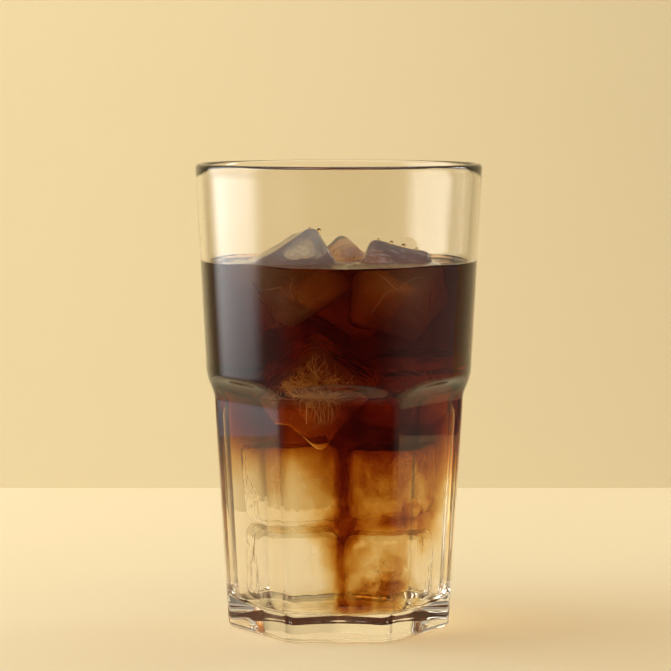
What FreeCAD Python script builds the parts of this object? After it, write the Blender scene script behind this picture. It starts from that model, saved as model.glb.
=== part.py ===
import FreeCAD, Part
import math
import os

# A tall tumbler of pressed glass, round at the top and cut into flat arched facets below,
# filled with iced coffee. Millimetres, +Z up, origin at the centre of the resting plane,
# front of the drink towards -Y.

Vector = FreeCAD.Vector
Z_AXIS = Vector(0, 0, 1)
ORIGIN = Vector(0, 0, 0)

# Driving dimensions of the glass
GLASS_HEIGHT = 143.0
RIM_RADIUS = 44.0          # outside, at the lip
RIM_WALL = 2.6             # wall at the lip, rounded to a half circle
FACETS = 7
FACET_TOP = 71.0           # height where neighbouring facets meet the round part
FACET_TOP_CORNER = 39.5    # radius of the ridges at FACET_TOP
FACET_FOOT_CORNER = 35.4   # radius of the ridges at the resting plane
FACET_FLARE = 9.0          # radius by which a facet curves out into its arch
FACET_WALL = 2.3           # thinnest wall, at the middle of a facet
RIDGE_STEP = 0.1           # how far the round part stands proud of the ridges at FACET_TOP
SHOULDER_HEIGHT = 9.0      # height of the curve by which the round part draws in to the ridges
SHOULDER_STEP = 1.45       # how far the round part stands proud of the ridges above that curve
SHOULDER_WALL = 2.8        # wall above the curve
CURVE_REACH = 0.45         # share of its height in which that curve follows each line it joins
RIDGE_ROUND = 1.2          # fire-polished ridge between two facets
HEEL_ROUND = 1.8           # rounded edge where the facets meet the foot
FLOOR_THICKNESS = 8.0      # solid glass under the drink
FLOOR_ROUND = 4.0          # inside corner between wall and floor
RECESS_RADIUS = 22.0       # shallow dome pressed up into the foot
RECESS_DEPTH = 0.9

# How far the shapes that only cut reach past the glass
CLEAR = 10.0

# Driving dimensions of the drink
DRINK_LEVEL = 113.5        # height of the surface of the coffee
LAYER_LEVEL = 58.0         # dark coffee above, pale melt water below

# Floating ice. Each cube has its edge, its taper, how far its centre lies beside the axis, whether
# it floats in the front (-1) or the back (1) row, the distance from its centre to the inside wall,
# its depth below the surface, and the turns about Z, Y and X that it has settled at
ICE_ROUND = 3.0
ICE_CUBES = {
    "ice_left": dict(edge=23.5, taper=0.92, side=-13.4, row=-1, inset=19.5, depth=4.7, turn=(6, 57, -12)),
    "ice_right": dict(edge=21.5, taper=0.92, side=15.4, row=-1, inset=17.8, depth=7.9, turn=(-14, 14, 36)),
    "ice_back": dict(edge=22.0, taper=0.94, side=2.5, row=1, inset=22.7, depth=9.0, turn=(20, 40, 10)),
}


def half_angle():
    return math.pi / FACETS


def facet_distance(z):
    """Distance of a facet's plane from the axis at height z."""
    share = z / FACET_TOP
    corner = FACET_FOOT_CORNER + (FACET_TOP_CORNER - FACET_FOOT_CORNER) * share
    return corner * math.cos(half_angle())


def spun(edges):
    """Solid of revolution about Z from a closed outline in the XZ plane."""
    outline = Part.Wire(Part.__sortEdges__(edges))
    return Part.Face(outline).revolve(ORIGIN, Z_AXIS, 360)


def line(a, b):
    return Part.LineSegment(a, b).toShape()


def at(r, z):
    return Vector(r, 0, z)


def s_curve(top, top_slope, bottom, bottom_slope):
    """Cubic curve between two points of the outline that leaves along the lines above and below."""
    reach = (top.z - bottom.z) * CURVE_REACH
    curve = Part.BezierCurve()
    curve.setPoles([
        top,
        at(top.x - top_slope * reach, top.z - reach),
        at(bottom.x + bottom_slope * reach, bottom.z + reach),
        bottom,
    ])
    return curve.toShape()


def dome():
    """Outline of the shallow dome in the foot, from the axis to its edge: part of a sphere."""
    radius = (RECESS_RADIUS ** 2 + RECESS_DEPTH ** 2) / (2 * RECESS_DEPTH)
    middle = math.asin(RECESS_RADIUS / radius) / 2
    halfway = at(radius * math.sin(middle), RECESS_DEPTH - radius * (1 - math.cos(middle)))
    return Part.Arc(at(0, RECESS_DEPTH), halfway, at(RECESS_RADIUS, 0)).toShape()


def outside_outline():
    """Round outside before the facets are cut, from the axis at the foot up to the lip."""
    lip = at(RIM_RADIUS, GLASS_HEIGHT - RIM_WALL / 2)
    shoulder = at(FACET_TOP_CORNER + SHOULDER_STEP, FACET_TOP + SHOULDER_HEIGHT)
    waist = at(FACET_TOP_CORNER + RIDGE_STEP, FACET_TOP)
    slope = (lip.x - shoulder.x) / (lip.z - shoulder.z)
    foot = at(waist.x, 0)
    return [
        dome(),
        line(at(RECESS_RADIUS, 0), foot),
        line(foot, waist),
        s_curve(shoulder, slope, waist, 0).reversed(),
        line(shoulder, lip),
    ]


def inside_points():
    """Corners of the inside outline: floor centre, floor edge, lower wall, waist, shoulder and lip."""
    waist_z = FACET_TOP - FACET_FLARE / 2
    waist = at(facet_distance(waist_z) - FACET_WALL, waist_z)
    wall_foot_z = FLOOR_THICKNESS + FLOOR_ROUND
    wall_foot = at(facet_distance(wall_foot_z) - FACET_WALL, wall_foot_z)
    return {
        "floor": at(0, FLOOR_THICKNESS),
        "floor_edge": at(wall_foot.x - FLOOR_ROUND, FLOOR_THICKNESS),
        "wall_foot": wall_foot,
        "waist": waist,
        "shoulder": at(
            FACET_TOP_CORNER + SHOULDER_STEP - SHOULDER_WALL,
            FACET_TOP + SHOULDER_HEIGHT + SHOULDER_WALL / 2,
        ),
        "lip": at(RIM_RADIUS - RIM_WALL, GLASS_HEIGHT - RIM_WALL / 2),
    }


def inside_radius(z):
    """Inside radius of the straight upper part at height z."""
    shoulder, lip = inside_points()["shoulder"], inside_points()["lip"]
    return shoulder.x + (lip.x - shoulder.x) * (z - shoulder.z) / (lip.z - shoulder.z)


def inside_outline():
    """Inside of the glass from the axis at the floor up to the lip."""
    p = inside_points()
    corner = p["floor_edge"] + Vector(
        FLOOR_ROUND * math.sin(math.pi / 4), 0, FLOOR_ROUND * (1 - math.cos(math.pi / 4))
    )
    lower_slope = (p["waist"].x - p["wall_foot"].x) / (p["waist"].z - p["wall_foot"].z)
    upper_slope = (p["lip"].x - p["shoulder"].x) / (p["lip"].z - p["shoulder"].z)
    return [
        line(p["floor"], p["floor_edge"]),
        Part.Arc(p["floor_edge"], corner, p["wall_foot"]).toShape(),
        line(p["wall_foot"], p["waist"]),
        s_curve(p["shoulder"], upper_slope, p["waist"], lower_slope).reversed(),
        line(p["shoulder"], p["lip"]),
    ]


def facet_cutter(turn):
    """What one facet takes off the round outside: a leaning plane, rounded under at the foot,
    that curves out at its top."""
    outer = RIM_RADIUS + CLEAR
    top = at(facet_distance(FACET_TOP), FACET_TOP)
    lean = math.atan2(top.x - facet_distance(0), top.z)
    heel_z = HEEL_ROUND * (1 - math.sin(lean))
    heel = at(facet_distance(heel_z), heel_z)

    def around(centre, radius, angle):
        return centre + Vector(radius * math.cos(angle), 0, radius * math.sin(angle))

    under = heel - Vector(HEEL_ROUND * math.cos(lean), 0, -HEEL_ROUND * math.sin(lean))
    foot = around(under, HEEL_ROUND, -math.pi / 2)
    heel_arc = Part.Arc(foot, around(under, HEEL_ROUND, -(math.pi / 2 + lean) / 2), heel)
    beyond = top + Vector(FACET_FLARE * math.cos(lean), 0, -FACET_FLARE * math.sin(lean))
    crest = around(beyond, FACET_FLARE, math.pi / 2)
    flare_arc = Part.Arc(top, around(beyond, FACET_FLARE, (3 * math.pi / 2 - lean) / 2), crest)
    edges = [
        line(at(foot.x, -CLEAR), foot),
        heel_arc.toShape(),
        line(heel, top),
        flare_arc.toShape(),
        line(crest, at(outer, crest.z)),
        line(at(outer, crest.z), at(outer, -CLEAR)),
        line(at(outer, -CLEAR), at(foot.x, -CLEAR)),
    ]
    face = Part.Face(Part.Wire(Part.__sortEdges__(edges)))
    face.translate(Vector(0, -outer, 0))
    cutter = face.extrude(Vector(0, 2 * outer, 0))
    cutter.rotate(ORIGIN, Z_AXIS, turn)
    return cutter


def cavity():
    """Inside of the glass as a solid, up to the lip."""
    p = inside_points()
    axis_top = at(0, p["lip"].z)
    edges = inside_outline() + [line(p["lip"], axis_top), line(axis_top, p["floor"])]
    return spun(edges)


def is_ridge(edge):
    """True for the long edge between two facets: it stands further out than the facets it joins."""
    middle = edge.CenterOfMass
    beyond_facets = math.hypot(middle.x, middle.y) > facet_distance(middle.z) + RIDGE_STEP
    return beyond_facets and middle.z < FACET_TOP and edge.BoundBox.ZLength > FACET_TOP / 2


def glass_body():
    outside = outside_outline()
    lip_out = at(RIM_RADIUS, GLASS_HEIGHT - RIM_WALL / 2)
    lip_in = inside_points()["lip"]
    lip_top = at(RIM_RADIUS - RIM_WALL / 2, GLASS_HEIGHT)
    lip = Part.Arc(lip_out, lip_top, lip_in).toShape()
    closing = line(at(0, FLOOR_THICKNESS), at(0, RECESS_DEPTH))
    body = spun(outside + [lip] + inside_outline() + [closing])
    step = 360.0 / FACETS
    for k in range(FACETS):
        body = body.cut(facet_cutter(-90 + k * step))
    ridges = [e for e in body.Edges if is_ridge(e)]
    return body.makeFillet(RIDGE_ROUND, ridges)


def ice_cube(edge, taper, side, row, inset, depth, turn):
    """Moulded ice cube: a square block that narrows to one end, with well-melted edges."""
    half = edge / 2

    def square(size, z):
        corners = [Vector(x * size, y * size, z) for x, y in ((-1, -1), (1, -1), (1, 1), (-1, 1))]
        return Part.makePolygon(corners + corners[:1])

    block = Part.makeLoft([square(half, -half), square(half * taper, half)], True)
    block = block.makeFillet(ICE_ROUND, block.Edges)
    about_z, about_y, about_x = turn
    block.rotate(ORIGIN, Vector(1, 0, 0), about_x)
    block.rotate(ORIGIN, Vector(0, 1, 0), about_y)
    block.rotate(ORIGIN, Z_AXIS, about_z)
    height = DRINK_LEVEL - depth
    out = inside_radius(height) - inset
    block.translate(Vector(side, row * math.sqrt(out ** 2 - side ** 2), height))
    return block


def slab(bottom, top):
    """Everything between two heights."""
    reach = RIM_RADIUS + CLEAR
    return Part.makeBox(2 * reach, 2 * reach, top - bottom, Vector(-reach, -reach, bottom))


def main():
    os.makedirs("parts", exist_ok=True)
    ice = {name: ice_cube(**facts) for name, facts in ICE_CUBES.items()}
    inside = cavity()
    coffee = inside.common(slab(LAYER_LEVEL, DRINK_LEVEL))
    for cube in ice.values():
        coffee = coffee.cut(cube)
    parts = {
        "glass": glass_body(),
        "coffee_layer": coffee,
        "water_layer": inside.common(slab(0, LAYER_LEVEL)),
        **ice,
    }
    for name, shape in parts.items():
        shape.exportStep(f"parts/{name}.step")
        volume = round(shape.Volume / 1000, 2)
        print(name, "solids", len(shape.Solids), "valid", shape.isValid(), "volume cm3", volume)


main()
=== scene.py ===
# %% [markdown]
# # Iced coffee in a faceted tumbler
#
# The drink is a stack of clear things: a pressed glass tumbler, coffee that turns to pale melt
# water lower down, ice that floats and ice that is sunk, and small bubbles. Clear things show
# what is behind them, so most of the work is in where one clear stuff ends and the next begins.
# Every border between two of them is one surface, with the index of refraction that belongs to
# that pair. That keeps the reflections as weak inside the drink as they really are.

# %% The frame
import bpy
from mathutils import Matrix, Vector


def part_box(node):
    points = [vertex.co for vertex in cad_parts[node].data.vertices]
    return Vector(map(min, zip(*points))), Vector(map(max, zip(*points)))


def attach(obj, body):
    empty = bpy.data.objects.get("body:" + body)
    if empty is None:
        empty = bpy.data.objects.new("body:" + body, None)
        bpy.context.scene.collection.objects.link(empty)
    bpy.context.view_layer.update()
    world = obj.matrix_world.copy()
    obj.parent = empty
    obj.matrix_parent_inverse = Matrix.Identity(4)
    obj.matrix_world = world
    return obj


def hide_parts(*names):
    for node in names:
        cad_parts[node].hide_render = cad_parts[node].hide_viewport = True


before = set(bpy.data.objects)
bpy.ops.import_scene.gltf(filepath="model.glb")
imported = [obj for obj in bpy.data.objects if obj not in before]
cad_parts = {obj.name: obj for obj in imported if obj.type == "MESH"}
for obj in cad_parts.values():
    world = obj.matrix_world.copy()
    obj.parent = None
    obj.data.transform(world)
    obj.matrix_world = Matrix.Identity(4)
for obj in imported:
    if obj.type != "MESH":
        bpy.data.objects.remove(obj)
for start_up in ("Cube", "Light", "Camera"):
    if start_up in bpy.data.objects:
        bpy.data.objects.remove(bpy.data.objects[start_up], do_unlink=True)
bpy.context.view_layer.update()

import math

import bmesh
import numpy as np
from mathutils import Euler, Vector, noise

MM = 0.001
scene = bpy.context.scene
rng = np.random.default_rng(7)

RIM_RADIUS, _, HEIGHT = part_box("glass")[1]
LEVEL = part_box("coffee_layer")[1][2]
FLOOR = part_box("water_layer")[0][2]
print("tumbler", round(HEIGHT / MM, 1), "mm high,", round(RIM_RADIUS / MM, 1), "mm rim radius")
print("coffee to", round(LEVEL / MM, 1), "mm, floor at", round(FLOOR / MM, 1), "mm")

# %% [markdown]
# ## Helpers for colours, nodes and meshes
#
# Colours are written as sRGB hex, as a paint chart gives them, and one function turns them to
# the linear values that a render needs. A second small function adds a shader node with its
# settings and links. Round things are stitched from rings of points, so a third function turns
# a list of rings into a closed mesh.


# %% Colours and nodes
def colour(hex_text):
    """Linear RGBA from an sRGB hex value."""
    srgb = [int(hex_text[i:i + 2], 16) / 255 for i in (1, 3, 5)]
    return (*[c / 12.92 if c <= 0.04045 else ((c + 0.055) / 1.055) ** 2.4 for c in srgb], 1.0)


def node(tree, kind, settings=None, **inputs):
    """Adds a node. settings are its own properties; inputs go by a socket's name, or i and its number."""
    made = tree.nodes.new("ShaderNode" + kind)
    for key, value in (settings or {}).items():
        setattr(made, key, value)
    for key, value in inputs.items():
        by_number = key[0] == "i" and key[1:].isdigit()
        socket = made.inputs[int(key[1:]) if by_number else key.replace("_", " ")]
        if isinstance(value, bpy.types.NodeSocket):
            tree.links.new(value, socket)
        else:
            socket.default_value = value
    return made


def new_material(name):
    """An empty material. Returns it, its node tree and its output node."""
    material = bpy.data.materials.new(name)
    material.use_nodes = True
    material.node_tree.nodes.clear()
    return material, material.node_tree, node(material.node_tree, "OutputMaterial")


print("cream paint in linear values:", [round(c, 3) for c in colour("#EBDAB4")[:3]])


# %% Meshes from rings
def add_piece(name, mesh, *materials, slot=None):
    """A mesh object. With a slot it is part of the drink and rides on its one body."""
    piece = bpy.data.objects.new(name, mesh)
    scene.collection.objects.link(piece)
    for material in materials:
        mesh.materials.append(material)
    if slot:
        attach(piece, "root")
    return piece


def stitch(name, rings, bottom, top):
    """Closed mesh from rings of points, with a point at each end. Returns it and each face's ring number."""
    count = len(rings[0])
    points = np.concatenate([[bottom], *rings, [top]])
    first = 1 + count * np.arange(len(rings))[:, None]
    here = np.arange(count)
    after = np.roll(here, -1)
    low, high = first[:-1], first[1:]
    quads = np.stack([low + here, low + after, high + after, high + here], axis=-1).reshape(-1, 4)
    last = len(points) - 1
    start_fan = [(0, 1 + b, 1 + a) for a, b in zip(here, after)]
    end_fan = [(last, first[-1, 0] + a, first[-1, 0] + b) for a, b in zip(here, after)]
    mesh = bpy.data.meshes.new(name)
    mesh.from_pydata(points.tolist(), [], start_fan + quads.tolist() + end_fan)
    mesh.shade_smooth()
    ring_of_quad = np.repeat(np.arange(len(rings) - 1), count)
    return mesh, np.concatenate([np.zeros(count), ring_of_quad, np.full(count, len(rings))])


def steps(start, end, size):
    """Evenly spaced values from start to end, about size apart, without the end."""
    return np.linspace(start, end, max(1, round(abs(end - start) / size)), endpoint=False)


print("steps from 0 to 10 about 3 apart:", steps(0, 10, 3).round(2))

# %% [markdown]
# ## The shape of the tumbler
#
# The tumbler is pressed in a mould: round above, with seven flat facets below that end in arches
# at the shoulder, and round inside all the way down. It could be cut from a cylinder with
# booleans, but then each edge is knife sharp and its shading breaks up. Here the outside is a
# formula instead: at each height and bearing the wall stands at the smaller of the round form
# and the facet's plane, blended where they meet as fire polishing blends them.

# %% Sizes of the tumbler
FACETS = 7
FACET_TOP = 71.0 * MM
FACET_TOP_CORNER = 39.5 * MM
FACET_FOOT_CORNER = 35.4 * MM
FACET_FLARE = 9.0 * MM
FACET_WALL = 2.3 * MM
SHOULDER_HEIGHT = 9.0 * MM
SHOULDER_STEP = 1.45 * MM
SHOULDER_WALL = 2.8 * MM
RIM_WALL = 2.6 * MM
HEEL_ROUND = 1.8 * MM
FLOOR_ROUND = 4.0 * MM
RECESS_RADIUS = 22.0 * MM
RECESS_DEPTH = 0.9 * MM
RIDGE_BLEND = 2.4 * MM      # over which neighbouring facets run into each other
ARCH_BLEND = 1.1 * MM       # over which a facet's arch runs into the round shoulder
HALF_FACET = math.pi / FACETS
SHOULDER_TOP = FACET_TOP + SHOULDER_HEIGHT
SHOULDER_RADIUS = FACET_TOP_CORNER + SHOULDER_STEP
LIP_CENTRE = HEIGHT - RIM_WALL / 2
print(FACETS, "facets, shoulder up to", round(SHOULDER_TOP / MM, 1), "mm")


# %% The outside of the tumbler
def facet_plane(z):
    """Distance of a facet's plane from the axis at height z."""
    corner = FACET_FOOT_CORNER + (FACET_TOP_CORNER - FACET_FOOT_CORNER) * z / FACET_TOP
    return corner * math.cos(HALF_FACET)


def facet_reach(z):
    """Distance of a facet's middle line from the axis, with its rounded heel and its flare."""
    lean = math.atan2(facet_plane(FACET_TOP) - facet_plane(0), FACET_TOP)
    heel_z = HEEL_ROUND * (1 - math.sin(lean))
    under = facet_plane(heel_z) - HEEL_ROUND * math.cos(lean)
    heel = under + np.sqrt(np.maximum(HEEL_ROUND ** 2 - (z - HEEL_ROUND) ** 2, 0))
    beyond_r = facet_plane(FACET_TOP) + FACET_FLARE * math.cos(lean)
    beyond_z = FACET_TOP - FACET_FLARE * math.sin(lean)
    flare = beyond_r - np.sqrt(np.maximum(FACET_FLARE ** 2 - (z - beyond_z) ** 2, 0))
    flare = np.where(z > beyond_z + FACET_FLARE, beyond_r, flare)
    return np.where(z < heel_z, heel, np.where(z > FACET_TOP, flare, facet_plane(z)))


def s_curve(z, low, high, low_slope, high_slope):
    """Radius at height z on a smooth curve between two (radius, height) points, with the slope at each."""
    span = high[1] - low[1]
    t = np.clip((z - low[1]) / span, 0, 1)
    ends = low[0] * (2 * t ** 3 - 3 * t ** 2 + 1) + high[0] * (3 * t ** 2 - 2 * t ** 3)
    return ends + span * (low_slope * (t ** 3 - 2 * t ** 2 + t) + high_slope * (t ** 3 - t ** 2))


def round_reach(z):
    """Outside radius of the round form at height z."""
    slope = (RIM_RADIUS - SHOULDER_RADIUS) / (LIP_CENTRE - SHOULDER_TOP)
    waist = (FACET_TOP_CORNER, FACET_TOP)
    drawn_in = s_curve(z, waist, (SHOULDER_RADIUS, SHOULDER_TOP), 0.0, slope)
    return np.where(z > SHOULDER_TOP, SHOULDER_RADIUS + slope * (z - SHOULDER_TOP), drawn_in)


def blend_smaller(a, b, width):
    """The smaller of two, rounded off where they cross."""
    share = np.clip(0.5 + 0.5 * (b - a) / width, 0, 1)
    return b * (1 - share) + a * share - width * share * (1 - share)


def outside_radius(angle, z):
    """Outside radius of the tumbler at a bearing and a height."""
    turned = (angle + math.pi / 2) / (2 * HALF_FACET)
    off = (turned - np.round(turned)) * 2 * HALF_FACET
    nearest = facet_reach(z) / np.cos(off)
    neighbour = facet_reach(z) / np.cos(2 * HALF_FACET - np.abs(off))
    faceted = blend_smaller(nearest, neighbour, RIDGE_BLEND)
    return blend_smaller(faceted, round_reach(z), ARCH_BLEND)


for z in (0.0, FACET_TOP, LIP_CENTRE):
    across = outside_radius(-math.pi / 2, z)
    corner = outside_radius(-math.pi / 2 + HALF_FACET, z)
    print("outside at", round(z / MM), "mm: front", (across / MM).round(1), "ridge", (corner / MM).round(1))


# %% The inside of the tumbler
def inside_radius(z):
    """Inside radius at height z, from the floor up to the lip."""
    slope = (RIM_RADIUS - RIM_WALL - SHOULDER_RADIUS + SHOULDER_WALL) / (LIP_CENTRE - SHOULDER_TOP)
    waist_z = FACET_TOP - FACET_FLARE / 2
    lower_slope = (FACET_TOP_CORNER - FACET_FOOT_CORNER) * math.cos(HALF_FACET) / FACET_TOP
    waist = (facet_plane(waist_z) - FACET_WALL, waist_z)
    shoulder = (SHOULDER_RADIUS - SHOULDER_WALL, SHOULDER_TOP + SHOULDER_WALL / 2)
    drawn_in = s_curve(z, waist, shoulder, lower_slope, slope)
    above = shoulder[0] + slope * (z - shoulder[1])
    below = facet_plane(z) - FACET_WALL
    radius = np.where(z > shoulder[1], above, np.where(z < waist_z, below, drawn_in))
    corner = FLOOR + FLOOR_ROUND
    wall_foot = facet_plane(corner) - FACET_WALL
    rounding = wall_foot - FLOOR_ROUND + np.sqrt(np.maximum(FLOOR_ROUND ** 2 - (z - corner) ** 2, 0))
    return np.where(z < corner, rounding, radius)


def floor_rings(z_offset=0.0):
    """Radii and heights down the inside's rounded corner and in over the floor."""
    turns = np.linspace(0, math.pi / 2, 9)[1:]
    corner = FLOOR + FLOOR_ROUND
    wall_foot = facet_plane(corner) - FACET_WALL
    radii = list(wall_foot - FLOOR_ROUND * (1 - np.cos(turns)))
    heights = list(corner - FLOOR_ROUND * np.sin(turns) + z_offset)
    inward = steps(radii[-1], 1 * MM, 2.5 * MM)[1:]
    return radii + list(inward), heights + [FLOOR + z_offset] * len(inward)


for z in (FLOOR + FLOOR_ROUND, FACET_TOP, LEVEL):
    print("inside radius at", round(z / MM), "mm:", (inside_radius(z) / MM).round(1))

# %% [markdown]
# Mould-made glass is never quite even: both faces wave by a few hundredths of a millimetre over
# a few centimetres, and that is what makes reflections and what is seen through it wander a
# little. A smooth noise, moved along the radius, gives that waviness to the mesh itself.

# %% Columns and waviness
COLUMNS_PER_FACET = 60
RIDGE_CROWDING = 0.6        # draws columns together towards the ridges, where the wall turns fast
GLASS_WAVE = 0.035 * MM
GLASS_WAVE_SIZE = 26 * MM
OUTER_SEED, INNER_SEED = 1.0, 5.0

spread = np.linspace(-1, 1, COLUMNS_PER_FACET, endpoint=False)
in_facet = HALF_FACET * ((1 - RIDGE_CROWDING) * spread + RIDGE_CROWDING * np.sin(spread * math.pi / 2))
facet_middles = -math.pi / 2 + 2 * HALF_FACET * np.arange(FACETS)
ANGLES = (facet_middles[:, None] + in_facet[None, :]).ravel()
COS, SIN = np.cos(ANGLES), np.sin(ANGLES)


def wave(points, size, seed):
    """Smooth noise from about -1 to 1 at each point."""
    shift = Vector((seed, 2.3 * seed, -1.7 * seed))
    return np.array([noise.noise(Vector(p) / size + shift) for p in points])


def ring(radius, height, waviness=0.0, seed=0.0):
    """One ring of points. radius is a number or one for each column."""
    points = np.stack([radius * COS, radius * SIN, np.broadcast_to(height, COS.shape)], axis=1)
    if waviness:
        outward = np.stack([COS, SIN, np.zeros_like(COS)], axis=1)
        points += outward * (waviness * wave(points, GLASS_WAVE_SIZE, seed))[:, None]
    return points


print("each ring has", len(ANGLES), "points")

# %% Heights of the rings
HEEL_ROWS = 7
COARSE, FINE, FINEST = 3.0 * MM, 1.0 * MM, 0.5 * MM     # from ring to ring on plain and curved stretches
shoulder_end = SHOULDER_TOP + 3 * MM
outer_heights = np.concatenate([
    HEEL_ROUND * (1 - np.cos(np.linspace(0, math.pi / 2, HEEL_ROWS))),
    steps(HEEL_ROUND * 1.3, FACET_TOP - 4 * MM, COARSE),
    steps(FACET_TOP - 4 * MM, shoulder_end, FINEST),
    steps(shoulder_end, LIP_CENTRE, COARSE),
])
inner_heights = np.concatenate([
    steps(LIP_CENTRE, LEVEL + 6 * MM, COARSE),
    steps(LEVEL + 6 * MM, LEVEL - 4 * MM, FINE),
    steps(LEVEL - 4 * MM, shoulder_end, COARSE),
    steps(shoulder_end, FACET_TOP - 8 * MM, FINE),
    steps(FACET_TOP - 8 * MM, FLOOR + FLOOR_ROUND, COARSE),
    [FLOOR + FLOOR_ROUND],
])
print(len(outer_heights), "rings outside and", len(inner_heights), "inside")

# %% The tumbler's mesh
LIP_ROWS = 12
foot_edge = outside_radius(ANGLES, 0.0)
rings = []
for share in np.linspace(0.08, 1, 9):                   # the dome in the foot
    rings.append(ring(RECESS_RADIUS * share, RECESS_DEPTH * (1 - share ** 2)))
for share in (0.35, 0.7, 0.92):                         # the flat ring that it stands on
    rings.append(ring(RECESS_RADIUS + (foot_edge - RECESS_RADIUS) * share, 0.0))
for z in outer_heights:
    rings.append(ring(outside_radius(ANGLES, z), z, GLASS_WAVE, OUTER_SEED))
for turn in np.linspace(0, math.pi, LIP_ROWS + 1)[:-1]:  # the lip's half circle
    r = RIM_RADIUS - RIM_WALL / 2 * (1 - math.cos(turn))
    rings.append(ring(r, LIP_CENTRE + RIM_WALL / 2 * math.sin(turn), GLASS_WAVE, OUTER_SEED))
first_inner = len(rings)
for z in inner_heights:
    rings.append(ring(float(inside_radius(z)), z, GLASS_WAVE, INNER_SEED))
for r, z in zip(*floor_rings()):
    rings.append(ring(r, z))
glass_mesh, glass_ring = stitch("tumbler_glass", rings, bottom=(0, 0, RECESS_DEPTH), top=(0, 0, FLOOR))
print("tumbler:", len(glass_mesh.polygons), "faces in", len(rings), "rings")

# %% [markdown]
# ## Ice cubes
#
# Moulded cubes have drafted sides and, once they have lain in a drink, well-rounded edges and
# faces that are no longer flat. Each is a block whose surface points are pulled to a rounded
# box, narrowed to one end, and then pushed in and out by smooth noise. The three that float
# take their place from the frame. The sunk ones lie where they jam against the wall and each
# other.

# %% The shape of one cube
ICE_ROUND = 3.2 * MM
ICE_CELLS = 22              # cells along each edge of the block
EDGE_CROWDING = 0.9         # draws points to the edges, where the block is rounded
MELT = 0.75 * MM            # how far melting has moved the skin in and out
HOLLOW_SIZE, DIMPLE_SIZE = 13 * MM, 5 * MM
DIMPLE_SHARE = 0.4


def rounded_block(edge, taper):
    """Points and quads of a rounded, tapered block about the origin."""
    half = edge / 2
    grid = bmesh.new()
    bmesh.ops.create_cube(grid, size=2.0)
    bmesh.ops.subdivide_edges(grid, edges=grid.edges[:], cuts=ICE_CELLS - 1, use_grid_fill=True)
    points = np.array([v.co[:] for v in grid.verts])
    faces = [[v.index for v in f.verts] for f in grid.faces]
    grid.free()
    crowd = math.pi / 4 * EDGE_CROWDING
    points = np.tan(points * crowd) / math.tan(crowd) * half
    core = np.clip(points, ICE_ROUND - half, half - ICE_ROUND)
    away = points - core
    points = core + ICE_ROUND * away / np.linalg.norm(away, axis=1, keepdims=True)
    points[:, :2] *= 1 - (1 - taper) * (points[:, 2:3] + half) / edge
    return points, faces


def melted(points, seed):
    """Moves points in and out as melting does: broad hollows and finer dimples."""
    centre_out = points / np.linalg.norm(points, axis=1, keepdims=True)
    skin = wave(points, HOLLOW_SIZE, seed) + DIMPLE_SHARE * wave(points, DIMPLE_SIZE, seed + 20)
    return points + centre_out * (MELT * skin)[:, None]


def turned(points, about_z, about_y, about_x):
    """Points turned about the origin, in degrees, about x first and z last."""
    matrix = np.array(Euler([math.radians(a) for a in (about_x, about_y, about_z)], "XYZ").to_matrix())
    return points @ matrix.T


print("a cube has", len(rounded_block(22 * MM, 0.9)[1]), "faces")

# %% Where the cubes are
# edge and place in mm, turn in degrees
FLOATING = {
    "ice_left": dict(edge=23.5, taper=0.92, turn=(6, 57, -12)),
    "ice_right": dict(edge=21.5, taper=0.92, turn=(-14, 14, 36)),
    "ice_back": dict(edge=22.0, taper=0.94, turn=(20, 40, 10)),
}
SUNK = {
    "ice_sunk_middle": dict(edge=24.5, taper=0.93, turn=(10, 40, 18), at=(-6.0, -16.5, 76.0)),
    "ice_sunk_upper_right": dict(edge=21.0, taper=0.94, turn=(-25, 8, 10), at=(17.5, 5.0, 74.5)),
    "ice_lower_left": dict(edge=24.0, taper=0.88, turn=(10, 176, 3), at=(-12.0, -8.0, 46.3)),
    "ice_lower_right": dict(edge=21.5, taper=0.90, turn=(-10, 180, -2), at=(13.8, -9.0, 47.0)),
    "ice_bottom_left": dict(edge=23.5, taper=0.94, turn=(6, 0, 0), at=(-11.5, -8.5, 20.6)),
    "ice_bottom_right": dict(edge=22.0, taper=0.94, turn=(-8, 0, 0), at=(13.0, -8.5, 20.0)),
}


def place_cube(name, edge, taper, turn, at=None):
    """Points and quads of a cube in its place: in its CAD box if it floats, else at a given point."""
    points, faces = rounded_block(edge * MM, taper)
    seed = 3.0 + len(name) + 7 * (list(FLOATING) + list(SUNK)).index(name)      # its own melting
    points = turned(melted(points, seed), *turn)
    if at is None:
        low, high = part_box(name)
        points += (np.array(low) + np.array(high)) / 2 - (points.min(0) + points.max(0)) / 2
    else:
        points += np.array(at) * MM
    return points, faces


cubes = {name: place_cube(name, **facts) for name, facts in {**FLOATING, **SUNK}.items()}
for name, (points, faces) in cubes.items():
    room = (inside_radius(points[:, 2]) - np.hypot(points[:, 0], points[:, 1])).min()
    heights = (points[:, 2].min() / MM).round(1), (points[:, 2].max() / MM).round(1)
    print(name, "from", *heights, "mm up, clear of the wall by", (room / MM).round(1), "mm")

# %% [markdown]
# Ice freezes from the outside in, and the air it pushes out ends up as fine threads of bubbles
# that fan out from the middle of the cube. They catch the light, so the cubes glow in the dark
# coffee. A volume could give a haze only, so each thread is drawn as a real thin thread here,
# bent by the same smooth noise, and all threads together are one piece.

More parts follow.
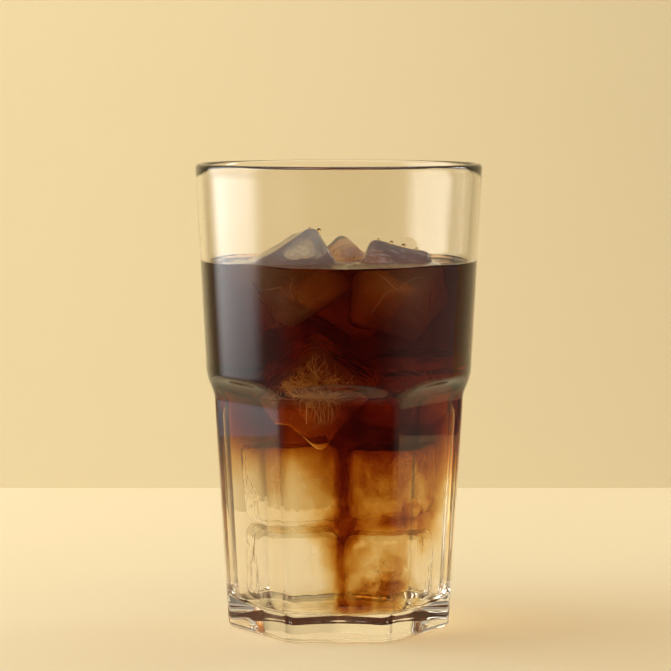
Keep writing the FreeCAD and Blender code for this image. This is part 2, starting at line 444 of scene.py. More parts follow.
# %% Threads of air in the ice
THREADS = {
    "ice_left": 2, "ice_right": 4, "ice_back": 2, "ice_sunk_middle": 230,
    "ice_sunk_upper_right": 60, "ice_lower_left": 4, "ice_lower_right": 10,
    "ice_bottom_left": 2, "ice_bottom_right": 8,
}
THREAD_POINTS = 14
THREAD_RADIUS = 0.05 * MM
THREAD_BEND, THREAD_BEND_SIZE = 5.12 * MM, 7 * MM
THREAD_START, THREAD_END = (0.02, 0.3), (0.6, 0.86)     # shares of the way from middle to skin
THREAD_REACH = 0.40         # of the cube's least width, so that no thread leaves it
ANY_WAY = (0.31, 0.83, 0.46)

along = np.linspace(0, 1, THREAD_POINTS)[:, None]
thread_points, thread_faces = [], []
for number, (name, thread_count) in enumerate(THREADS.items()):
    hull = cubes[name][0]
    middle = hull.mean(axis=0)
    farthest = THREAD_REACH * np.ptp(hull, axis=0).min()
    for _ in range(thread_count):
        ends = hull[rng.integers(len(hull), size=2)]
        start = middle + (ends[0] - middle) * rng.uniform(*THREAD_START)
        end = middle + (ends[1] - middle) * rng.uniform(*THREAD_END)
        path = start + (end - start) * along
        bends = [wave(path, THREAD_BEND_SIZE, number + shift) for shift in (31.0, 47.0, 59.0)]
        path += THREAD_BEND * np.stack(bends, axis=1) * np.sin(along * math.pi)
        path = middle + np.clip(path - middle, -farthest, farthest)
        direction = (end - start) / np.linalg.norm(end - start)
        side = np.cross(direction, ANY_WAY)
        side /= np.linalg.norm(side)
        other = np.cross(direction, side)
        thickness = THREAD_RADIUS * rng.uniform(0.5, 1.5) * np.sin(np.clip(along, 0.03, 0.97) * math.pi)
        first = len(thread_points) * 4
        for point, r in zip(path, thickness[:, 0]):
            thread_points.append([point + r * d for d in (side, other, -side, -other)])
        for a in range(first, first + 4 * (THREAD_POINTS - 1), 4):
            thread_faces += [(a + k, a + (k + 1) % 4, a + 4 + (k + 1) % 4, a + 4 + k) for k in range(4)]
print("threads of air:", len(thread_faces), "faces")

# %% [markdown]
# ## The drink
#
# Coffee and melt water are one liquid with no border between them, so they are one piece that
# stands for both solids of the frame. Its side reaches a tenth of a millimetre into the glass,
# its surface climbs the wall and the ice in a small meniscus, and a boolean takes out the room
# that each cube fills. The side and those hollows are borders that other surfaces already
# bend light at, so a value on each corner point tells the material to let light straight
# through there.

# %% The surface of the drink
LIQUID_INTO_WALL = 0.12 * MM
SURFACE = LEVEL - 1.3 * MM              # away from the wall and the ice
WALL_RISE, WALL_REACH = 1.0 * MM, 1.1 * MM
ICE_RISE, ICE_REACH = 1.8 * MM, 4.2 * MM
MOST_RISE = 1.9 * MM
RIPPLE, RIPPLE_WIDTH = 0.15 * MM, 9 * MM

ice_at_surface = np.concatenate([cubes[name][0] for name in FLOATING])
ice_at_surface = ice_at_surface[np.abs(ice_at_surface[:, 2] - LEVEL) < 1.5 * MM]


def surface_height(x, y):
    """Height of the drink's surface at points in plan."""
    from_wall = np.maximum(float(inside_radius(LEVEL)) - np.hypot(x, y), 0)
    gaps = np.hypot(x[:, None] - ice_at_surface[:, 0], y[:, None] - ice_at_surface[:, 1]).min(axis=1)
    rise = WALL_RISE * np.exp(-from_wall / WALL_REACH) + ICE_RISE * np.exp(-gaps / ICE_REACH)
    ripple = wave(np.stack([x, y, np.zeros_like(x)], axis=1), RIPPLE_WIDTH, 11.0)
    return SURFACE + np.minimum(rise, MOST_RISE) + RIPPLE * ripple


def surface_at(x, y):
    """The same at one place."""
    return float(surface_height(np.array([x]), np.array([y]))[0])


print("surface in the middle", round(surface_at(0.0, 0.0) / MM, 2), "mm up")

# %% The drink's mesh
FLAT_FLOOR = 25 * MM                    # inside this radius the floor is flat
MENISCUS_STEPS = np.array([0.0, 0.25, 0.5, 0.8, 1.2, 1.7, 2.3]) * MM


def surface_ring(radius):
    """A ring of points on the drink's surface."""
    points = ring(radius, SURFACE)
    points[:, 2] = surface_height(points[:, 0], points[:, 1])
    return points


liquid_rings = []
radii, heights = floor_rings(-LIQUID_INTO_WALL)
for r, z in zip(radii[::-1], heights[::-1]):
    liquid_rings.append(ring(r + LIQUID_INTO_WALL * (r > FLAT_FLOOR), z))
for z in inner_heights[::-1]:
    if z < SURFACE - 1 * MM:
        liquid_rings.append(ring(float(inside_radius(z)) + LIQUID_INTO_WALL, z))
surface_radius = float(inside_radius(SURFACE))
wall_radius = surface_radius + LIQUID_INTO_WALL
for r in (wall_radius, *(surface_radius - MENISCUS_STEPS), *steps(wall_radius - 3.2 * MM, 1 * MM, 1 * MM)):
    liquid_rings.append(surface_ring(r))
liquid_mesh, _ = stitch(
    "iced_coffee", liquid_rings, bottom=(0, 0, FLOOR - LIQUID_INTO_WALL), top=(0, 0, surface_at(0.0, 0.0))
)
print("drink:", len(liquid_mesh.polygons), "faces before the ice is taken out")

# %% Taking the ice out of the drink
CAVITY_GAP = 0.03 * MM


def cube_mesh(name, points, faces):
    mesh = bpy.data.meshes.new(name)
    mesh.from_pydata(points.tolist(), [], faces)
    mesh.shade_smooth()
    return mesh


def point_values(mesh, key):
    """A vector for each point of a mesh: its place (co) or its normal."""
    values = np.empty(len(mesh.vertices) * 3)
    mesh.vertices.foreach_get(key, values)
    return values.reshape(-1, 3)


def cavity_cutter(name):
    """The cube again, a hair larger, which cuts its hollow in the drink."""
    points, faces = cubes[name]
    mesh = cube_mesh("cutter_" + name, points, faces)
    swollen = points + CAVITY_GAP * point_values(mesh, "normal")
    mesh.vertices.foreach_set("co", swollen.ravel())
    cutter = bpy.data.objects.new("cutter_" + name, mesh)
    scene.collection.objects.link(cutter)
    return cutter


drink = bpy.data.objects.new("iced_coffee", liquid_mesh)
scene.collection.objects.link(drink)
cutters = [cavity_cutter(name) for name in cubes]
for cutter in cutters:
    cut = drink.modifiers.new("room_for_" + cutter.name, "BOOLEAN")
    cut.operation, cut.object, cut.solver = "DIFFERENCE", cutter, "MANIFOLD"
cut_drink = drink.evaluated_get(bpy.context.evaluated_depsgraph_get())
drink.data = bpy.data.meshes.new_from_object(cut_drink)
drink.data.name = "iced_coffee"
drink.modifiers.clear()
for cutter in cutters:
    bpy.data.objects.remove(cutter, do_unlink=True)
drink.data.shade_smooth()
print("drink:", len(drink.data.polygons), "faces with the ice taken out")

# %% Where light goes straight through the drink's border
def mark_points(mesh, name, chosen):
    """Stores 1 on the chosen points of a mesh and 0 on the others."""
    mesh.attributes.new(name, "FLOAT", "POINT").data.foreach_set("value", chosen.astype(float))


points, normals = point_values(drink.data, "co"), point_values(drink.data, "normal")
reach = np.hypot(points[:, 0], points[:, 1])
is_top = (points[:, 2] > SURFACE - 0.7 * MM) & (normals[:, 2] > 0.2)
open_to_air = is_top & (reach < wall_radius - 0.5 * LIQUID_INTO_WALL)
against_glass = (reach > inside_radius(points[:, 2])) | (points[:, 2] < FLOOR)
mark_points(drink.data, "open_surface", open_to_air)
mark_points(drink.data, "at_glass", against_glass)
print(int(open_to_air.sum()), "points in the open,", int(against_glass.sum()), "at the glass of", len(points))

# %% [markdown]
# ## Materials
#
# Clear stuffs have almost no colour of their own: what they show is bent from behind them. So
# the materials are mostly a true index of refraction for each border, and colour sits where it
# really is, in the coffee. Each clear material also lets the lamps' straight rays through.
# Without that, a renderer leaves the inside of a glass dark, or needs far more samples.
#
# The glass is soda-lime, index 1.52, pressed and then fire polished. It has no haze and no
# grain, so it gives the eye hard bright edges, and a soft band where a lamp is mirrored. Where
# the drink wets it, the border is 1.52 against 1.333 and reflects much less, so the mesh has a
# second material there. Fine upright ripples from the mould break the band into soft lines.

# %% Glass
GLASS_IOR, COFFEE_IOR = 1.52, 1.333
RIPPLE_SIZE = 5.0 * MM      # across a mould ripple
RIPPLE_DRAW = 0.12          # they run up and down, so they change this much less with height
RIPPLE_DEPTH = 0.012 * MM


def let_lamps_through(tree, shader, out, tint="#FFFFFF"):
    """Sends a clear shader to the output, but lets a lamp's straight rays pass, with a tint."""
    is_shadow = node(tree, "LightPath").outputs["Is Shadow Ray"]
    clear = node(tree, "BsdfTransparent", Color=colour(tint))
    mixed = node(tree, "MixShader", i0=is_shadow, i1=shader.outputs[0], i2=clear.outputs[0])
    tree.links.new(mixed.outputs[0], out.inputs["Surface"])


def glass_material(name, ior, tint, ripple=0.0):
    """Something clear and smooth: glass, a bubble or a drop."""
    material, tree, out = new_material(name)
    shader = node(
        tree, "BsdfPrincipled", Transmission_Weight=1.0, IOR=ior, Roughness=0.0, Base_Color=colour(tint)
    )
    if ripple:
        where = node(tree, "TexCoord").outputs["Object"]
        drawn_out = node(tree, "VectorMath", {"operation": "MULTIPLY"}, i0=where, i1=(1.0, 1.0, RIPPLE_DRAW))
        lines = node(tree, "TexNoise", Vector=drawn_out.outputs[0], Scale=1 / RIPPLE_SIZE, Detail=2.0)
        bump = node(tree, "Bump", Height=lines.outputs[0], Distance=ripple, Strength=1.0)
        tree.links.new(bump.outputs[0], shader.inputs["Normal"])
    let_lamps_through(tree, shader, out, tint)
    return material


dry_glass = glass_material("pressed_soda_lime_glass", GLASS_IOR, "#FCF9F3", RIPPLE_DEPTH)
wet_glass = glass_material("pressed_soda_lime_glass_wetted", GLASS_IOR / COFFEE_IOR, "#FFFFFF")
print("glass against air", GLASS_IOR, "and against the drink", round(GLASS_IOR / COFFEE_IOR, 3))

# %% [markdown]
# Coffee is a clear liquid: its top is a mirror-smooth skin, and the rest of it shows only as
# colour. Its side has no skin of its own, but a stain lies there, darker with height. It is
# much fainter than the coffee inside. It is all that a viewer shows which draws surfaces and
# leaves out what fills them, so the drink looks pale there.

# %% The skin of the coffee
STAINS = ((0.0, "#FFFDF8"), (0.30, "#FDF8EE"), (0.48, "#EDD0A2"), (0.66, "#D0A883"), (1.0, "#CCA37E"))

coffee, tree, out = new_material("black_coffee_over_melt_water")
where = node(tree, "TexCoord").outputs["Object"]
is_open = node(tree, "Attribute", {"attribute_name": "open_surface"}).outputs["Fac"]
at_glass = node(tree, "Attribute", {"attribute_name": "at_glass"}).outputs["Fac"]
ior = node(tree, "Math", {"operation": "MULTIPLY_ADD"}, i0=is_open, i1=COFFEE_IOR - 1, i2=1.0)
height = node(tree, "SeparateXYZ", Vector=where).outputs["Z"]
height_share = node(tree, "MapRange", Value=height, i1=FLOOR, i2=LEVEL)
layers = node(tree, "ValToRGB", Fac=height_share.outputs[0])
stops = layers.color_ramp.elements
for share, tint in STAINS[1:-1]:
    stops.new(share)
for stop, (share, tint) in zip(stops, STAINS):
    stop.color = colour(tint)
# on a colour Mix, sockets 6 and 7 are its two colours and output 2 is the result
stained = node(
    tree, "Mix", {"data_type": "RGBA"}, i0=at_glass, i6=colour("#FFFFFF"), i7=layers.outputs[0]
)
coffee_shader = node(
    tree, "BsdfPrincipled", Transmission_Weight=1.0, IOR=ior.outputs[0], Roughness=0.0,
    Base_Color=stained.outputs[2],
)
let_lamps_through(tree, coffee_shader, out)
print("stains of the side:", [tint for share, tint in STAINS])

# %% [markdown]
# Black coffee absorbs blue first, then green, then red, here about 5 : 2 : 1. That is why a thick
# layer looks nearly black, a thinner one red brown, and a film of it amber. One absorption
# colour gives that ratio, and a density field says how much coffee is where: much above and
# little below. A noise displaces the place at which the field is read, more in height than
# across, and that draws the border between the two out into swirls.

# %% Coffee above, melt water below
LAYER_TOP, LAYER_BOTTOM = 70 * MM, 46 * MM
COFFEE_DENSITY, WATER_DENSITY = 253.0, 2.0
WARP_SIZE = 17 * MM
WARP_ACROSS, WARP_UP = 22.8 * MM, 45.6 * MM

warp = node(tree, "TexNoise", Vector=where, Scale=1 / WARP_SIZE, Detail=4.0, Roughness=0.62)
centred = node(tree, "VectorMath", {"operation": "SUBTRACT"}, i0=warp.outputs["Color"], i1=(0.5, 0.5, 0.5))
swirled = node(
    tree, "VectorMath", {"operation": "MULTIPLY_ADD"},
    i0=centred.outputs[0], i1=(WARP_ACROSS, WARP_ACROSS, WARP_UP), i2=where,
)
swirled_z = node(tree, "SeparateXYZ", Vector=swirled.outputs[0])
layered = node(
    tree, "MapRange", {"interpolation_type": "SMOOTHSTEP"}, Value=swirled_z.outputs["Z"],
    i1=LAYER_BOTTOM, i2=LAYER_TOP, i3=WATER_DENSITY, i4=COFFEE_DENSITY,
)
density = layered.outputs[0]
print("density", WATER_DENSITY, "to", COFFEE_DENSITY, "from", LAYER_BOTTOM / MM, "to", LAYER_TOP / MM, "mm")

# %% [markdown]
# Cold coffee is heavier than melt water, so it sinks between the cubes in plumes, and melt water
# hangs about the cubes above. Each plume adds to the density, or takes from it, about a centre,
# and a second noise streaks it. They could be smoke from a simulation, but a sum of soft clouds
# is far lighter and can be put where the cubes leave room.

# %% Plumes of coffee and of melt water
STREAK_SIZE = 8 * MM
STREAK_LOW, STREAK_HIGH = 0.3, 1.7      # share of a plume's density between its streaks and in them
AT_REACH = 0.37                         # share of it that is left at the plume's reach
# centre and reach in mm, and the density to add
PLUMES = [
    ((2.5, -16.0, 31.0), (6.0, 16.0, 27.0), 350.0),      # between the left and right cubes
    ((17.0, -10.0, 55.0), (17.0, 26.0, 10.0), 200.0),    # over the lower right cube
    ((-6.0, -6.0, 54.0), (10.0, 26.0, 7.0), 88.0),       # over the lower left cube
    ((-5.0, -4.0, 44.0), (10.0, 26.0, 9.0), 82.0),       # behind and before the lower left cube
    ((14.0, 4.0, 42.0), (10.0, 26.0, 20.0), 55.0),       # a haze down the right side
    ((20.0, -22.0, 38.0), (8.0, 14.0, 10.0), 460.0),     # down the right edge of the lower right cube
    ((17.0, -27.0, 11.0), (14.0, 6.0, 7.0), 1100.0),     # curling before the bottom right cube
    ((6.0, -26.0, 9.5), (22.0, 10.0, 2.2), 77.0),        # what has settled on the floor
    ((-6.0, -24.0, 76.0), (15.0, 18.0, 15.0), -225.0),   # melt water about the cube in the middle
    ((-13.0, -22.0, 98.0), (13.0, 18.0, 11.0), -198.0),  # melt water under the left floating cube
    ((15.0, -22.0, 96.0), (13.0, 18.0, 12.0), -136.0),   # and under the right one
]
streak_noise = node(
    tree, "TexNoise", Vector=swirled.outputs[0], Scale=1 / STREAK_SIZE, Detail=2.0, Distortion=1.2
)
streak = node(
    tree, "MapRange", {"interpolation_type": "SMOOTHSTEP"},
    Value=streak_noise.outputs[0], i1=0.36, i2=0.64, i3=STREAK_LOW, i4=STREAK_HIGH,
)
for centre, reach, amount in PLUMES:
    centre_m, reach_m = [c * MM for c in centre], [r * MM for r in reach]
    off = node(tree, "VectorMath", {"operation": "SUBTRACT"}, i0=swirled.outputs[0], i1=centre_m)
    shares = node(tree, "VectorMath", {"operation": "DIVIDE"}, i0=off.outputs[0], i1=reach_m)
    square = node(
        tree, "VectorMath", {"operation": "DOT_PRODUCT"}, i0=shares.outputs[0], i1=shares.outputs[0]
    )
    falloff = node(tree, "Math", {"operation": "POWER"}, i0=AT_REACH, i1=square.outputs["Value"])
    uneven = node(tree, "Math", {"operation": "MULTIPLY"}, i0=falloff.outputs[0], i1=streak.outputs[0])
    total = node(tree, "Math", {"operation": "MULTIPLY_ADD"}, i0=uneven.outputs[0], i1=amount, i2=density)
    density = total.outputs[0]
density = node(tree, "Math", {"operation": "MAXIMUM"}, i0=density, i1=WATER_DENSITY).outputs[0]
absorption = node(tree, "VolumeAbsorption", Color=colour("#E7C600"), Density=density)
tree.links.new(absorption.outputs[0], out.inputs["Volume"])
print(len(PLUMES), "plumes")

# %% [markdown]
# Ice is as clear as glass and frozen in a mould, but wet: melting gives it a smooth skin with
# shallow dimples, which catches small glints. Its index is 1.31 in air, but a little under that
# of the drink, so a sunk cube shows as a faint outline. A value on each point tells which holds.
# Its heart is cloudy with air too fine to see one by one, so that part is a volume that
# scatters, streaked by a ridged noise. Lower cubes have melted clearer than those above.

# %% The skin of the ice
ICE_IN_AIR, ICE_IN_DRINK = 1.31, 0.965  # the second a trace lower than the true 0.983, to show the outline
MELT_RIPPLE_SIZE, MELT_RIPPLE = 3.2 * MM, 0.5 * MM

ice_material, tree, out = new_material("clear_moulded_ice_with_cloudy_heart")
where = node(tree, "TexCoord").outputs["Object"]
in_air = node(tree, "Attribute", {"attribute_name": "in_air"}).outputs["Fac"]
ior = node(
    tree, "Math", {"operation": "MULTIPLY_ADD"}, i0=in_air, i1=ICE_IN_AIR - ICE_IN_DRINK, i2=ICE_IN_DRINK
)
melt_noise = node(tree, "TexNoise", Vector=where, Scale=1 / MELT_RIPPLE_SIZE, Detail=2.0)
melt_ripple = node(tree, "Bump", Height=melt_noise.outputs[0], Distance=MELT_RIPPLE, Strength=1.0)
ice_shader = node(
    tree, "BsdfPrincipled", Transmission_Weight=1.0, IOR=ior.outputs[0], Roughness=0.0,
    Base_Color=colour("#FFFFFF"), Normal=melt_ripple.outputs[0],
)
let_lamps_through(tree, ice_shader, out)
print("ice against air", ICE_IN_AIR, "and against the drink", ICE_IN_DRINK)

# %% The cloudy heart of the ice
CLOUD_FIBRE = 3.2 * MM
CLOUD_BEND = 9 * MM
CLEAR_BELOW, CLOUDY_FROM = 56 * MM, 114 * MM
CLOUD_LOW, CLOUD_HIGH, CLOUD_IN_AIR = 5.0, 70.0, 110.0

bend = node(tree, "TexNoise", Vector=where, Scale=1 / CLOUD_BEND, Detail=2.0)
bent = node(
    tree, "VectorMath", {"operation": "MULTIPLY_ADD"},
    i0=bend.outputs["Color"], i1=(CLOUD_BEND,) * 3, i2=where,
)
fibres = node(
    tree, "TexNoise", {"noise_type": "RIDGED_MULTIFRACTAL"},
    Vector=bent.outputs[0], Scale=1 / CLOUD_FIBRE, Detail=2.0,
)
streaks = node(tree, "MapRange", Value=fibres.outputs[0], i1=0.5, i2=1.1, i3=0.25, i4=6.0)
high = node(tree, "SeparateXYZ", Vector=where).outputs["Z"]
by_height = node(
    tree, "MapRange", {"interpolation_type": "SMOOTHSTEP"},
    Value=high, i1=CLEAR_BELOW, i2=CLOUDY_FROM, i3=CLOUD_LOW, i4=CLOUD_HIGH,
)
frosted = node(tree, "MapRange", Value=high, i1=LEVEL - 1 * MM, i2=LEVEL + 3 * MM, i3=0.0, i4=CLOUD_IN_AIR)
heart = node(tree, "Math", {"operation": "ADD"}, i0=frosted.outputs[0], i1=by_height.outputs[0])
cloud = node(tree, "Math", {"operation": "MULTIPLY"}, i0=streaks.outputs[0], i1=heart.outputs[0])
scatter = node(tree, "VolumeScatter", Color=colour("#FFFFFF"), Density=cloud.outputs[0], Anisotropy=0.2)
tree.links.new(scatter.outputs[0], out.inputs["Volume"])
print("cloud from", CLOUD_LOW, "below to", CLOUD_HIGH, "above")

# %% [markdown]
# A thread of trapped air is a row of tiny bubbles. Each of them sends light every way, so the
# thread looks white and matt. It is lit through as well as from the front, as a thread of
# cotton is, so half of its shader is translucent.

# %% Threads of air
AIR_WHITE = "#F4F6F8"
threads_material, tree, out = new_material("threads_of_air_frozen_in_ice")
front = node(tree, "BsdfDiffuse", Color=colour(AIR_WHITE))
through = node(tree, "BsdfTranslucent", Color=colour(AIR_WHITE))
mixed = node(tree, "MixShader", i0=0.5, i1=front.outputs[0], i2=through.outputs[0])
tree.links.new(mixed.outputs[0], out.inputs["Surface"])
print("materials so far:", len(bpy.data.materials))

# %% [markdown]
# ## Putting the pieces in place
#
# Every piece rides on the one body of the drink. The tumbler, the drink and the three floating
# cubes stand for solids of the frame and hide them. The sunk cubes, the threads of air and the
# bubbles are finer things that only the looks need, so they are added beside them.

# %% Tumbler, drink and ice
tumbler = add_piece("tumbler_glass", glass_mesh, dry_glass, wet_glass, slot="glass")
centres = np.array([p.center[:] for p in glass_mesh.polygons])
wetted = (glass_ring >= first_inner) & (centres[:, 2] < SURFACE + WALL_RISE)
glass_mesh.polygons.foreach_set("material_index", wetted.astype(np.int32))
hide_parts("glass")

drink.data.materials.clear()
drink.data.materials.append(coffee)
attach(drink, "root")
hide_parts("coffee_layer", "water_layer")

for name, (points, faces) in cubes.items():
    mesh = cube_mesh(name + "_visual", points, faces)
    mark_points(mesh, "in_air", points[:, 2] > surface_height(points[:, 0], points[:, 1]) - 0.2 * MM)
    cube = add_piece(name + "_cube", mesh, ice_material, slot="ice")
    if name in FLOATING:
        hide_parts(name)

threads_mesh = bpy.data.meshes.new("ice_threads")
threads_mesh.from_pydata(np.array(thread_points).reshape(-1, 3).tolist(), [], thread_faces)
add_piece("ice_air_threads", threads_mesh, threads_material, slot="ice")
print("wetted faces of the glass:", int(wetted.sum()), "of", len(wetted))

# %% [markdown]
# Coffee that has been poured over ice keeps small bubbles: a broken string of them where its
# surface meets the wall, a few that cling to the wall below, and drops left on the ice by the
# pour. They are balls at true size, from a third of a millimetre to a millimetre and a half
# across, gathered into one piece for each kind. A bubble on the surface is a thin film round
# air, so it bends light little and shows as a ring. Air under the surface bends it the other
# way than a drop does, which gives the dark edge and the bright spot of a bubble in a drink.

# %% Balls and their materials
bead_material = glass_material("thin_walled_coffee_bubble", 1.12, "#F3E6D2")
air_material = glass_material("air_bubble_in_coffee", 1 / COFFEE_IOR, "#FFFFFF")
drop_material = glass_material("drop_of_coffee", COFFEE_IOR, "#F5E4C8")


def ball_cluster(name, balls, material, detail=2):
    """Many small balls, each a (centre, radius), as one piece."""
    ball = bmesh.new()
    bmesh.ops.create_icosphere(ball, subdivisions=detail, radius=1.0)
    unit = np.array([v.co[:] for v in ball.verts])
    triangles = np.array([[v.index for v in f.verts] for f in ball.faces])
    ball.free()
    points = np.concatenate([np.array(centre) + r * unit for centre, r in balls])
    faces = np.concatenate([triangles + i * len(unit) for i in range(len(balls))])
    mesh = bpy.data.meshes.new(name)
    mesh.from_pydata(points.tolist(), [], faces.tolist())
    mesh.shade_smooth()
    print(name, len(balls), "balls,", len(faces), "triangles")
    return add_piece(name, mesh, material, slot="coffee")


def on_wall(bearing, z, radius):
    """Centre of a ball against the inside of the wall, at a bearing in degrees from the front rightwards."""
    reach = float(inside_radius(z)) - radius
    turn = math.radians(bearing)
    return (reach * math.sin(turn), -reach * math.cos(turn), z)


# %% Bubbles on the surface
# from bearing, to bearing, how many
BEAD_STRINGS = ((-78, -38, 26), (36, 82, 40), (-36, 34, 14), (100, 260, 30))
BEAD_SIZES = (0.16, 0.48)       # radii in mm
BEAD_AFLOAT = 0.45              # share of its radius that a bubble's centre stands above the surface

beads = []
for low, high, count in BEAD_STRINGS:
    for bearing in rng.uniform(low, high, count):
        r = rng.uniform(*BEAD_SIZES) * MM
        x, y, _ = on_wall(bearing, SURFACE, r * rng.uniform(1.0, 2.4))
        beads.append(((x, y, surface_at(x, y) + BEAD_AFLOAT * r), r))
ball_cluster("surface_bubbles", beads, bead_material)

# %% Bubbles on the wall
# bearing in degrees, height and radius in mm
CLINGING = (
    (-50.5, 101.9, 0.5), (-50.0, 97.2, 0.42), (-48.0, 88.7, 0.5), (-46.5, 105.5, 0.3),
    (-30.0, 83.0, 0.3), (22.0, 90.0, 0.28), (38.0, 79.0, 0.34), (150.0, 92.0, 0.5),
    (-140.0, 99.0, 0.4), (205.0, 84.0, 0.45),
)
OFF_WALL = 0.15                 # mm of coffee between a bubble and the glass
clinging = [(on_wall(bearing, z * MM, (r + OFF_WALL) * MM), r * MM) for bearing, z, r in CLINGING]
ball_cluster("wall_bubbles", clinging, air_material)

# %% Drops on the ice
# the cube, how far right of the middle and the radius in mm
DROPS = (
    ("ice_left", -5.6, 0.8), ("ice_right", 16.6, 0.62), ("ice_right", 20.3, 0.7),
    ("ice_right", 12.9, 0.35), ("ice_left", -9.5, 0.4), ("ice_right", 24.0, 0.4),
)
DROP_ABOVE = 0.55               # share of its radius that a drop's centre stands above the ice
drops = []
for name, x, r in DROPS:
    hull = cubes[name][0]
    column = hull[np.abs(hull[:, 0] - x * MM) < 1.0 * MM]
    column = column if len(column) else hull
    top = column[column[:, 2].argmax()]
    drops.append((top + np.array([0, 0, DROP_ABOVE * r * MM]), r * MM))
ball_cluster("drops_on_ice", drops, drop_material, detail=3)

# %% [markdown]
# ## Studio
#
# Glass is lit by what it mirrors. A pale wall behind shows through it, a large soft lamp at the
# left draws the long pale band down its side, and the space in front stays dark, because any
# light there would lie as a grey veil over the coffee. The table and the wall are rolled cream
# paint: matt, with faint clouds where the coat is thicker and a fine orange peel from the roller.

# %% Paint
PAINT_CLOUDS = 60 * MM       # across one thicker or thinner patch of the coat
PIMPLE_SIZE = 1.1 * MM       # the roller's orange peel
PIMPLE_HEIGHT = 0.03 * MM


def paint_material(name, paint, thicker):
    """Rolled paint, in the colour of its thin and of its thicker patches."""
    material, tree, out = new_material(name)
    where = node(tree, "TexCoord").outputs["Object"]
    clouds = node(tree, "TexNoise", Vector=where, Scale=1 / PAINT_CLOUDS, Detail=3.0)
    coat = node(
        tree, "Mix", {"data_type": "RGBA"}, i0=clouds.outputs[0], i6=colour(paint), i7=colour(thicker)
    )
    pimples = node(tree, "TexNoise", Vector=where, Scale=1 / PIMPLE_SIZE, Detail=2.0)
    bump = node(tree, "Bump", Height=pimples.outputs[0], Distance=PIMPLE_HEIGHT, Strength=1.0)
    sheen = node(tree, "MapRange", Value=pimples.outputs[0], i1=0.3, i2=0.7, i3=0.8, i4=0.9)
    shader = node(
        tree, "BsdfPrincipled", Roughness=sheen.outputs[0], Specular_IOR_Level=0.15,
        Base_Color=coat.outputs[2], Normal=bump.outputs[0],
    )
    tree.links.new(shader.outputs[0], out.inputs["Surface"])
    return material


satin_cream = paint_material("satin_cream_paint", "#EBDAB4", "#E9D8B2")
matt_cream = paint_material("matt_cream_wall_paint", "#EBD7A9", "#E9D5A7")
print("paints:", satin_cream.name, "and", matt_cream.name)

# %% Table top and wall
TABLE_FRONT, TABLE_BACK = -0.075, 0.267
TABLE_HALF = 0.32
TABLE_EDGE = 0.008           # radius of the table's edges
TABLE_SKIRT = 0.03           # how far its front and back hang down
UNDER_FOOT = 0.06 * MM       # the air under the glass, so that the foot and the table are two surfaces
WALL_Y, WALL_HALF = 0.95, 2.0
WALL_FROM, WALL_TO = -0.9, 1.6


def sheet(name, profile, half_width, material):
    """A sheet swept along x from a profile of (y, z)."""
    points = [(x, y, z) for y, z in profile for x in (-half_width, half_width)]
    faces = [(2 * i, 2 * i + 1, 2 * i + 3, 2 * i + 2) for i in range(len(profile) - 1)]
    mesh = bpy.data.meshes.new(name)
    mesh.from_pydata(points, [], faces)
    mesh.shade_smooth()
    add_piece(name, mesh, material)


front_edge, back_edge = [], []
for q in np.linspace(0, math.pi / 2, 7):
    inward, drop = TABLE_EDGE * (1 - math.cos(q)), TABLE_EDGE * (1 - math.sin(q))
    front_edge.append((TABLE_FRONT + inward, -drop))
    back_edge.append((TABLE_BACK - inward, -drop))
table_profile = [(TABLE_FRONT, -TABLE_SKIRT), *front_edge, *back_edge[::-1], (TABLE_BACK, -TABLE_SKIRT)]
table_profile = [(y, z - UNDER_FOOT) for y, z in table_profile]
sheet("table_top", table_profile, TABLE_HALF, satin_cream)
sheet("wall", [(WALL_Y, WALL_FROM), (WALL_Y, WALL_TO)], WALL_HALF, matt_cream)
print("table", round(TABLE_BACK - TABLE_FRONT, 3), "m deep, wall", WALL_Y, "m behind the glass")

# %% [markdown]
# The large lamp fades out towards its edges, as a softbox does, so its mirrored band has soft
# sides. Two lamps are turned to the wall, which lets it be bright with little veil on the
# glass. A small one at the right and behind gives the ice and the heel their sparks.

# %% Lights
def softbox(name, place, size, power, aim, tint="#FFFFFF", soft_edge=None):
    """A rectangular lamp. soft_edge is the share of its width over which it fades out at each side."""
    lamp = bpy.data.lights.new(name, "AREA")
    lamp.shape = "RECTANGLE"
    lamp.size, lamp.size_y = size
    lamp.energy, lamp.color = power, colour(tint)[:3]
    if soft_edge:
        lamp.use_nodes = True
        tree = lamp.node_tree
        on_lamp = node(tree, "SeparateXYZ", Vector=node(tree, "NewGeometry").outputs["Parametric"])
        strength = 1.0
        for axis in "XY":
            from_edge = node(tree, "Math", {"operation": "PINGPONG"}, i0=on_lamp.outputs[axis], i1=0.5)
            fade = node(
                tree, "MapRange", {"interpolation_type": "SMOOTHSTEP"},
                Value=from_edge.outputs[0], i1=0.0, i2=soft_edge, i3=0.0, i4=1.0,
            )
            both = node(tree, "Math", {"operation": "MULTIPLY"}, i0=fade.outputs[0], i1=strength)
            strength = both.outputs[0]
        tree.links.new(strength, tree.nodes["Emission"].inputs["Strength"])
    box = bpy.data.objects.new(name, lamp)
    box.location = place
    box.rotation_euler = (Vector(aim) - box.location).to_track_quat("-Z", "Y").to_euler()
    scene.collection.objects.link(box)
    print(name, power, "W")


# place, width and height in metres, power in watts, and the point that it is aimed at
softbox("softbox_left", (-0.86, 0.08, 0.36), (1.3, 1.3), 20.5, (0, 0, 0.08), soft_edge=0.3)
softbox("kicker_right", (0.42, 0.24, 0.36), (0.06, 0.18), 0.4, (0, 0, 0.07))
softbox("overhead_left", (-0.42, -0.12, 1.1), (0.7, 0.6), 1.2, (0, 0, 0.0), tint="#FFF4E2")
softbox("wall_light_low", (0, 0.33, -0.42), (1.6, 0.5), 3.3, (0, WALL_Y, -0.3), tint="#FFF3E0")
softbox("wall_light_high", (-0.2, 0.42, 0.8), (1.2, 0.3), 2.6, (0, WALL_Y, 0.25))

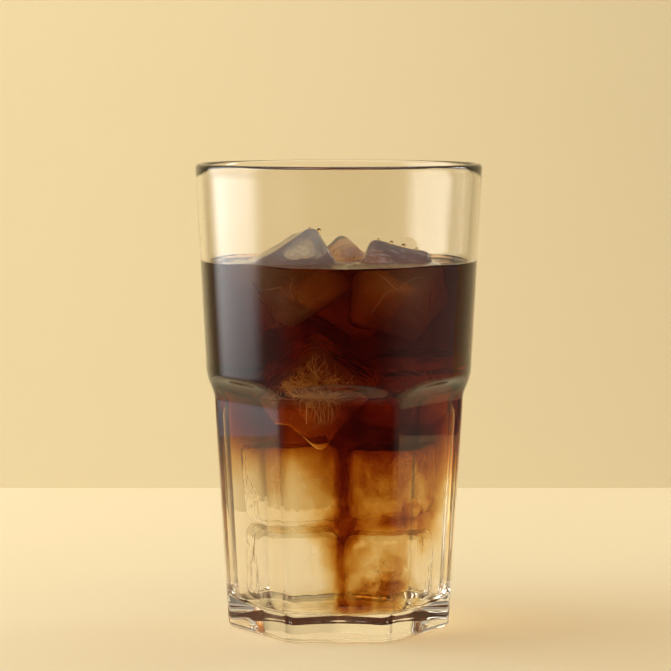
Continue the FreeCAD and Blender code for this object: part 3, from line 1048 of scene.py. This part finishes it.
# %% The room's own light
IN_FRONT, BESIDE, ABOVE = 0.03, 0.3, 0.6        # its strength from those sides

world = bpy.data.worlds.new("studio")
scene.world = world
world.use_nodes = True
tree = world.node_tree
sky = node(tree, "SeparateXYZ", Vector=node(tree, "TexCoord").outputs["Generated"])
sides = node(
    tree, "MapRange", {"interpolation_type": "SMOOTHSTEP"},
    Value=sky.outputs["Y"], i1=-0.9, i2=-0.4, i3=IN_FRONT, i4=BESIDE,
)
glow = node(
    tree, "MapRange", {"interpolation_type": "SMOOTHSTEP"},
    Value=sky.outputs["Z"], i1=-0.02, i2=0.3, i3=sides.outputs[0], i4=ABOVE,
)
background = tree.nodes["Background"]
background.inputs["Color"].default_value = colour("#F6EBD6")
tree.links.new(glow.outputs[0], background.inputs["Strength"])
print("room light", IN_FRONT, "in front,", BESIDE, "beside and", ABOVE, "above")

# %% [markdown]
# The camera stands three quarters of a metre away with a long lens, a little above the rim, and
# looks slightly down. A ray crosses a dozen clear borders on its way through the drink, so the
# light may bounce many more times than in a plain scene. Short volume steps keep the plumes and
# the cloudy ice smooth.

# %% Camera
LENS, SENSOR = 129.0, 36.0          # mm
CAMERA_PLACE = (-0.001, -0.740, 0.1624)
LOOKING_DOWN = 0.0978               # radians
CLEAR_BOUNCES, GLOSSY_BOUNCES = 48, 16

camera_data = bpy.data.cameras.new("camera")
camera_data.lens, camera_data.sensor_width = LENS, SENSOR
camera = bpy.data.objects.new("camera", camera_data)
camera.location = CAMERA_PLACE
camera.rotation_euler = (math.pi / 2 - LOOKING_DOWN, 0, 0)
scene.collection.objects.link(camera)
scene.camera = camera
scene.view_settings.view_transform = "Standard"
scene.cycles.max_bounces = CLEAR_BOUNCES
scene.cycles.transmission_bounces = CLEAR_BOUNCES
scene.cycles.transparent_max_bounces = CLEAR_BOUNCES
scene.cycles.glossy_bounces = GLOSSY_BOUNCES
scene.cycles.volume_step_rate = 0.35
print("camera looks down", round(math.degrees(LOOKING_DOWN), 1), "degrees")
